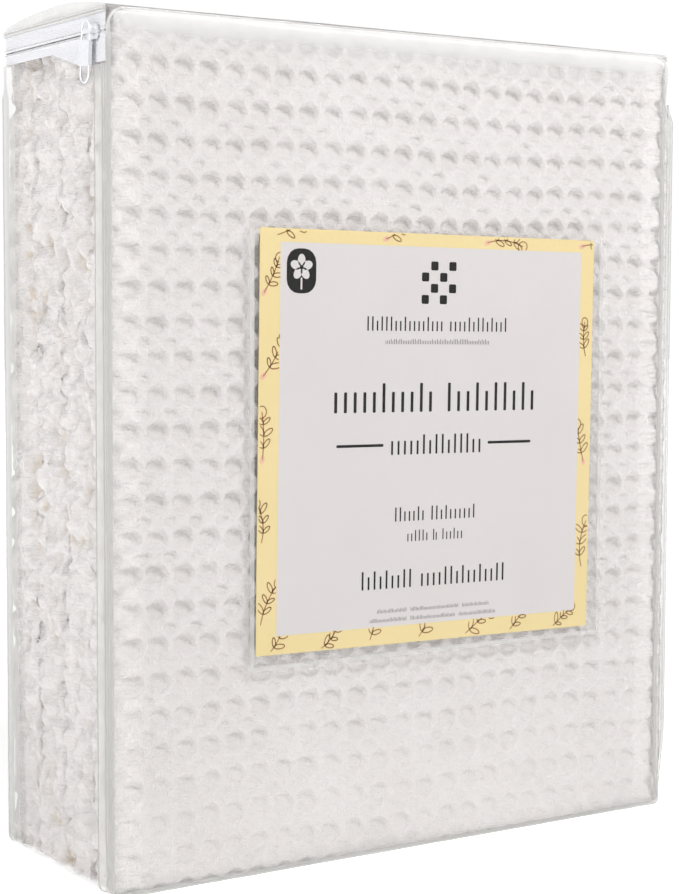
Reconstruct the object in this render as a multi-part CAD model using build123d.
"""A folded waffle-weave blanket packed in its clear zip bag.

Frame: millimetres, +Z up. The origin is on the floor, under the middle of the bag. The bag's front,
with the card in its pocket, faces -Y, and the closed end of the zipper is on the left side, at -X.

Layers of the bag are placed by their inset: the distance inwards from the outer face of the piping.
"""

from build123d import *
import os

# ---- driving dimensions ----
bag_width = 313.5
bag_depth = 110.5
bag_height = 381.0  # to the top of the piping; the lid's crown stands above it
bag_corner = 9.0  # corner radius of the panels, seen from the front
plan_corner = 4.0  # corner radius of the lid and of the zipper's turns, seen from above
film = 0.3  # thickness of the clear film
bead_radius = 1.5  # piping bead
flange_width = 6.0  # piping flange, sewn behind the panel's edge
lid_crown = 5.0  # how far the stuffed lid bulges above the piping

card_side = 190.5
card_thickness = 0.4
card_tilt = -0.7  # degrees, as the card sits askew in its pocket
card_centre_x = 11.4
card_centre_z = 193.5

zip_drop = 10.5  # from the piping's top down to the middle of the zipper
tape_reach = 12.8  # from the middle of the zipper down to the lower tape's edge
lid_skirt = 3.0  # from the piping's top down to the lid's lower edge
tape_lap = 2.0  # how far the upper tape reaches behind the lid's skirt
tape_thickness = 0.5
coil_height = 1.1
coil_thickness = 1.3
coil_gap = 0.6  # half of the space between the two coils

slider_length = 11.0
slider_height = 6.6
outer_plate = 1.0  # thickness of the slider's plates
inner_plate = 0.8
plate_clearance = 0.15  # between a plate and the coils
post_height = 0.8  # wedge post, in the gap between the coils
post_length = 2.4
foot_length = 1.2  # front foot of the slider's bridge
foot_radius = 0.6  # its round rear foot, on which the pull turns
foot_front = 0.9  # from the slider's front to the bridge and the post
pivot_back = 7.8  # from the slider's front to the rear foot
bridge_thickness = 0.8
bridge_width = 1.8
slider_front_gap = 8.5  # from the bag's front to the closed slider

wire_radius = 0.5  # pull loop
loop_half_width = 3.9  # to the wire's centreline
loop_top = 4.9  # loop's ends above and below its pivot, to the wire's centreline
loop_bottom = -21.0
grip_width = 9.6
grip_height = 11.0
grip_thickness = 1.6
grip_top = -3.2
pull_lean = 5.0  # degrees that the hanging pull leans to the back

pocket_left = -87.8
pocket_right = 113.8
pocket_bottom = 92.6
pocket_mouth = 288.5
weld_width = 2.0
card_gap = 0.15  # on each face of the card

cord_height = 0.9  # each cord of the lid's welt
cord_proud = 0.5
cord_spacing = 0.4
strip_thickness = 0.3  # strip that carries the cords

# ---- sizes that follow ----
half_width = bag_width / 2
half_depth = bag_depth / 2
film_inset = 0.5  # outer face of every film panel
tape_inset = film_inset + film  # tapes and flanges lie against the inside of the film
flange_thickness = 0.4
zip_height = bag_height - zip_drop
lid_front = -half_depth + 2 * bead_radius + 0.3  # lid parts start clear of the hinge bead
panel_top = zip_height - tape_reach + 2.0  # side and back panels lap the tape by 2 mm
lid_skirt_bottom = bag_height - lid_skirt
upper_tape_top = lid_skirt_bottom + tape_lap
coil_inset = tape_inset + tape_thickness / 2 - coil_thickness / 2
stop_length = 1.0
coil_front = lid_front + stop_length
slider_front = -half_depth + slider_front_gap
plate_face = coil_inset - plate_clearance - outer_plate  # outer face of the slider's outer plate
wire_inset = coil_inset - 2.3  # plane in which the pull hangs
bridge_inset = wire_inset - wire_radius - 0.2  # underside of the bridge
pivot_y = slider_front + pivot_back
panel_face = -half_depth + film_inset
card_back = panel_face - card_gap
pocket_back = card_back - card_thickness - card_gap
edge_drop = 0.5  # from the piping's top down to the lid's front and back edges
blanket_side_inset = 3.2  # room behind the zipper for the slider's inner plate
blanket_front_inset = 1.8
blanket_edge = 8.0
blanket_gap = 2.0  # under the lid


def write(node, shape):
    """Write one sub-part to its own STEP file."""
    shape.label = node
    export_step(shape, f"parts/{node}.step")
    print(f"{node}: {len(shape.solids())} solid(s), {shape.volume:.1f} mm3")


def upright(y):
    """Plane parallel to the bag's front, at depth y, whose normal points to the front."""
    return Plane(origin=(0, y, 0), x_dir=(1, 0, 0), z_dir=(0, -1, 0))


def inset_panel(inset):
    """Outline of the front panel, drawn in by an inset, in the upright plane."""
    width = bag_width - 2 * inset
    height = bag_height - 2 * inset
    return Pos(0, bag_height / 2) * RectangleRounded(width, height, bag_corner - inset)


def below(z):
    """Large rectangle of the upright plane that ends at height z."""
    return Pos(0, z - bag_height) * Rectangle(2 * bag_width, 2 * bag_height)


def plan(inset):
    """Plan of the bag, drawn in by an inset, with round back corners and run out past the front."""
    run_out = 40.0
    depth = bag_depth - inset + run_out
    middle = half_depth - inset - depth / 2
    return Pos(0, middle) * RectangleRounded(bag_width - 2 * inset, depth, plan_corner - inset)


def band(inset, thickness, bottom, top, front):
    """Strip standing along the left, back and right sides, from front backwards."""
    keep = Pos(0, front + bag_depth) * Rectangle(2 * bag_width, 2 * bag_depth)
    strip = (plan(inset) - plan(inset + thickness)) & keep
    return extrude(Pos(0, 0, bottom) * strip, top - bottom)


# ---- bag panels ----
def front_panel():
    """Front panel, between the beads of its piping."""
    outline = upright(-half_depth + tape_inset) * inset_panel(2 * bead_radius)
    return extrude(outline, film)


def back_panel():
    """Back panel, cut off under the zipper."""
    outline = inset_panel(2 * bead_radius) & below(panel_top)
    return extrude(upright(half_depth - film_inset) * outline, film)


def side_panel(side):
    """One upright side of the gusset. side is -1 on the left and +1 on the right."""
    bottom = bag_corner - film_inset
    depth = bag_depth - 4 * bead_radius
    centre = (side * (half_width - film_inset - film / 2), 0, (bottom + panel_top) / 2)
    return Pos(*centre) * Box(film, depth, panel_top - bottom)


def bottom_panel():
    """Bottom of the gusset, turned up into both lower corners, resting on the floor."""
    radius = bag_corner - film_inset
    width = bag_width - 2 * film_inset
    outer = Pos(0, bag_height / 2) * RectangleRounded(width, bag_height, radius)
    inner_width = width - 2 * film
    inner_height = bag_height - 2 * film
    inner = Pos(0, bag_height / 2) * RectangleRounded(inner_width, inner_height, radius - film)
    profile = (outer - inner) & below(radius)
    depth = bag_depth - 4 * bead_radius
    return extrude(upright(depth / 2) * profile, depth)


# ---- piping ----
def flange_ring():
    """Flat ring of the upright plane, from the bead's centre inwards."""
    return inset_panel(bead_radius) - inset_panel(bead_radius + flange_width)


def front_piping():
    """Closed loop of bead round the front panel, with its flange behind the panel."""
    y = -half_depth + bead_radius
    path = (upright(y) * inset_panel(bead_radius)).face().outer_wire()
    bead = sweep(Plane(path @ 0, z_dir=path % 0) * Circle(bead_radius), path=path)
    back = upright(-half_depth + tape_inset + flange_thickness)
    return bead + extrude(back * flange_ring(), flange_thickness)


def back_piping():
    """Bead and flange down both back edges and along the bottom, ending under the zipper."""
    top = zip_height - tape_reach - 0.5
    y = half_depth - bead_radius
    side_x = half_width - bead_radius
    radius = bag_corner - bead_radius
    corner_x = half_width - bag_corner
    left = Line((-side_x, y, top), (-side_x, y, bag_corner))
    left_turn = CenterArc((-corner_x, bag_corner), radius, 180, 90)
    right_turn = CenterArc((corner_x, bag_corner), radius, 270, 90)
    left_arc = upright(y) * left_turn
    right_arc = upright(y) * right_turn
    floor = Line((-corner_x, y, bead_radius), (corner_x, y, bead_radius))
    right = Line((side_x, y, bag_corner), (side_x, y, top))
    path = Wire([left.edge(), left_arc.edge(), floor.edge(), right_arc.edge(), right.edge()])
    bead = sweep(Plane(path @ 0, z_dir=path % 0) * Circle(bead_radius), path=path)
    plate = upright(half_depth - tape_inset) * (flange_ring() & below(top))
    return bead + extrude(plate, flange_thickness)


# ---- pocket and card ----
def pocket_film():
    """Clear sheet that holds the card against the front panel."""
    width = pocket_right - pocket_left
    height = pocket_mouth - pocket_bottom
    centre_x = (pocket_left + pocket_right) / 2
    outline = Pos(centre_x, pocket_bottom + height / 2) * Rectangle(width, height)
    return extrude(upright(pocket_back) * outline, film)


def pocket_welds():
    """Three straight welds between the front panel and the pocket's sheet."""
    thickness = panel_face - pocket_back
    y = (panel_face + pocket_back) / 2
    height = pocket_mouth - pocket_bottom
    upright_weld = Box(weld_width, thickness, height)
    middle_z = pocket_bottom + height / 2
    left = Pos(pocket_left + weld_width / 2, y, middle_z) * upright_weld
    right = Pos(pocket_right - weld_width / 2, y, middle_z) * upright_weld
    length = pocket_right - pocket_left - 2 * weld_width
    centre_x = (pocket_left + pocket_right) / 2
    floor = Pos(centre_x, y, pocket_bottom + weld_width / 2) * Box(length, thickness, weld_width)
    return Compound([left, right, floor])


def insert_card():
    """Square card, standing a little askew on the pocket's lower weld."""
    outline = Pos(card_centre_x, card_centre_z) * Rot(0, 0, card_tilt)
    outline *= RectangleRounded(card_side, card_side, 0.8)
    return extrude(upright(card_back) * outline, card_thickness)


# ---- lid ----
def lid_solid(inset, drop):
    """Solid under the crowned top, down to the lid's skirt."""
    end_z = bag_height - edge_drop - drop
    front = (lid_front, end_z)
    crest = ((lid_front + half_depth - inset) / 2, bag_height + lid_crown - drop)
    back = (half_depth - inset, end_z)
    crown = ThreePointArc(front, crest, back)
    walls = Polyline(back, (back[0], lid_skirt_bottom), (front[0], lid_skirt_bottom), front)
    profile = Plane.YZ * make_face(crown + walls)
    slab = extrude(profile, bag_width, both=True)
    keep = Pos(0, lid_front + bag_depth) * Rectangle(2 * bag_width, 2 * bag_depth)
    column = extrude(plan(inset) & keep, 2 * bag_height)
    return slab & column


def lid_panel():
    """Crowned top film with a short skirt along the left, back and right sides."""
    return lid_solid(film_inset, 0.0) - lid_solid(film_inset + film, film)


def lid_welt():
    """Raised double seam where the lid's skirt meets the zipper tape: two cords on one strip."""
    low = lid_skirt_bottom + 0.2
    high = low + cord_height + cord_spacing
    top = high + cord_height
    strip_inset = film_inset - strip_thickness
    cord_inset = strip_inset - cord_proud
    strip = band(strip_inset, strip_thickness, low, top, lid_front)
    lower = band(cord_inset, cord_proud, low, low + cord_height, lid_front)
    upper = band(cord_inset, cord_proud, high, top, lid_front)
    return strip + lower + upper


# ---- zipper ----
def zipper_tape(bottom, top):
    """Woven tape along the left, back and right sides."""
    return band(tape_inset, tape_thickness, bottom, top, lid_front)


def zipper_coil(bottom):
    """Row of coil teeth on a tape's inner edge, as one plain bar."""
    return band(coil_inset, coil_thickness, bottom, bottom + coil_height, coil_front)


def zipper_stops(bottom):
    """Small clips that end one coil, at the left and right front corners."""
    x = half_width - coil_inset - coil_thickness / 2
    y = lid_front + stop_length / 2
    clip = Box(coil_thickness, stop_length, coil_height)
    return Compound([Pos(side * x, y, bottom + coil_height / 2) * clip for side in (-1, 1)])


def from_left(inset):
    """X of a plane at this inset from the left side."""
    return -half_width + inset


def side_plane(inset):
    """Plane parallel to the left side. Its x axis runs to the front, and its normal points out."""
    origin = (from_left(inset), slider_front, zip_height)
    return Plane(origin=origin, x_dir=(0, -1, 0), z_dir=(-1, 0, 0))


def zipper_slider():
    """Two heart-shaped plates joined by a wedge post between the coils, and a bridge for the pull."""
    half = slider_height / 2
    nose = 1.6
    waist = 6.0
    taper = 0.8
    points = [(0, nose), (-nose, half), (-waist, half), (-slider_length, half - taper)]
    mirrored = [(x, -z) for x, z in reversed(points)]
    outline = fillet(make_face(Polyline(*points, *mirrored, close=True)).vertices(), 0.7)
    inner_back = coil_inset + coil_thickness + plate_clearance + inner_plate
    inner = extrude(side_plane(inner_back) * outline, inner_plate)
    outer = extrude(side_plane(coil_inset - plate_clearance) * outline, outer_plate)
    post_depth = coil_thickness + 2 * plate_clearance + 0.4  # 0.2 into each plate
    post_x = from_left(coil_inset + coil_thickness / 2)
    post_y = slider_front + foot_front + post_length / 2
    post = Pos(post_x, post_y, zip_height) * Box(post_depth, post_length, post_height)
    return inner + outer + post + bridge()


def bridge():
    """Arched strip on the outer plate: the pull hangs on its round rear foot."""
    start = slider_front + foot_front
    end = pivot_y + foot_radius + 0.1
    strip_x = from_left(bridge_inset - bridge_thickness / 2)
    strip = Pos(strip_x, (start + end) / 2, zip_height) * Box(bridge_thickness, end - start, bridge_width)
    strip = fillet(strip.edges().filter_by(Axis.X), 0.6)
    foot_height = plate_face - bridge_inset + 0.4  # 0.2 into the plate and the strip
    foot_x = from_left((plate_face + bridge_inset) / 2)
    front_foot = Box(foot_height, foot_length, bridge_width)
    front_foot = Pos(foot_x, start + foot_length / 2, zip_height) * front_foot
    rear_foot = Rot(0, 90, 0) * Cylinder(foot_radius, foot_height)
    rear_foot = Pos(foot_x, pivot_y, zip_height) * rear_foot
    return strip + front_foot + rear_foot


def on_pull(outline):
    """Put an outline, drawn about the pivot, on the plane in which the leaning pull hangs."""
    origin = (from_left(wire_inset), pivot_y, zip_height)
    plane = Plane(origin=origin, x_dir=(0, -1, 0), z_dir=(-1, 0, 0))
    return plane * (Rot(0, 0, -pull_lean) * outline)


def loop_path():
    """Centreline of the pull's long oval loop, hanging from its pivot."""
    length = loop_top - loop_bottom
    middle = (loop_top + loop_bottom) / 2
    oval = Pos(0, middle) * SlotOverall(length, 2 * loop_half_width, rotation=90)
    return on_pull(oval).face().outer_wire()


def pull_wire():
    """Long oval wire loop."""
    path = loop_path()
    return sweep(Plane(path @ 0, z_dir=path % 0) * Circle(wire_radius), path=path)


def pull_grip():
    """Flat grip moulded round the middle of the wire loop, so the wire fills its two channels."""
    outline = RectangleRounded(grip_width, grip_height, 1.2)
    outline = on_pull(Pos(0, grip_top - grip_height / 2) * outline)
    return extrude(outline, grip_thickness / 2, both=True) - pull_wire()


# ---- blanket ----
def folded_blanket():
    """The folded blanket as one plain block with soft edges and a crowned top."""
    depth = bag_depth - 2 * blanket_front_inset
    width = bag_width - 2 * blanket_side_inset
    edge_z = bag_height - edge_drop - blanket_gap
    front = (-depth / 2, edge_z)
    back = (depth / 2, edge_z)
    crown = ThreePointArc(front, (0, bag_height + lid_crown - blanket_gap), back)
    walls = Polyline(back, (depth / 2, film), (-depth / 2, film), front)
    block = extrude(Plane.YZ * make_face(crown + walls), width / 2, both=True)
    return fillet(block.edges(), blanket_edge)


def main():
    """Make every sub-part and write it."""
    os.makedirs("parts", exist_ok=True)
    coil_low = zip_height - coil_gap - coil_height
    coil_high = zip_height + coil_gap
    write("folded_blanket", folded_blanket())
    write("front_panel", front_panel())
    write("back_panel", back_panel())
    write("left_panel", side_panel(-1))
    write("right_panel", side_panel(1))
    write("bottom_panel", bottom_panel())
    write("front_piping", front_piping())
    write("back_piping", back_piping())
    write("pocket_film", pocket_film())
    write("pocket_welds", pocket_welds())
    write("insert_card", insert_card())
    write("lower_zipper_tape", zipper_tape(zip_height - tape_reach, coil_low))
    write("lower_zipper_coil", zipper_coil(coil_low))
    write("lower_zipper_stops", zipper_stops(coil_low))
    write("lid_panel", lid_panel())
    write("lid_welt", lid_welt())
    write("upper_zipper_tape", zipper_tape(coil_high + coil_height, upper_tape_top))
    write("upper_zipper_coil", zipper_coil(coil_high))
    write("upper_zipper_stops", zipper_stops(coil_high))
    write("zipper_slider", zipper_slider())
    write("pull_wire", pull_wire())
    write("pull_grip", pull_grip())
    print(f"hinge axis y {-half_depth + bead_radius:.3f} z {bag_height - bead_radius:.3f}")
    print(f"pull pivot y {pivot_y:.3f} z {zip_height:.3f} x {from_left(wire_inset):.3f}")


main()
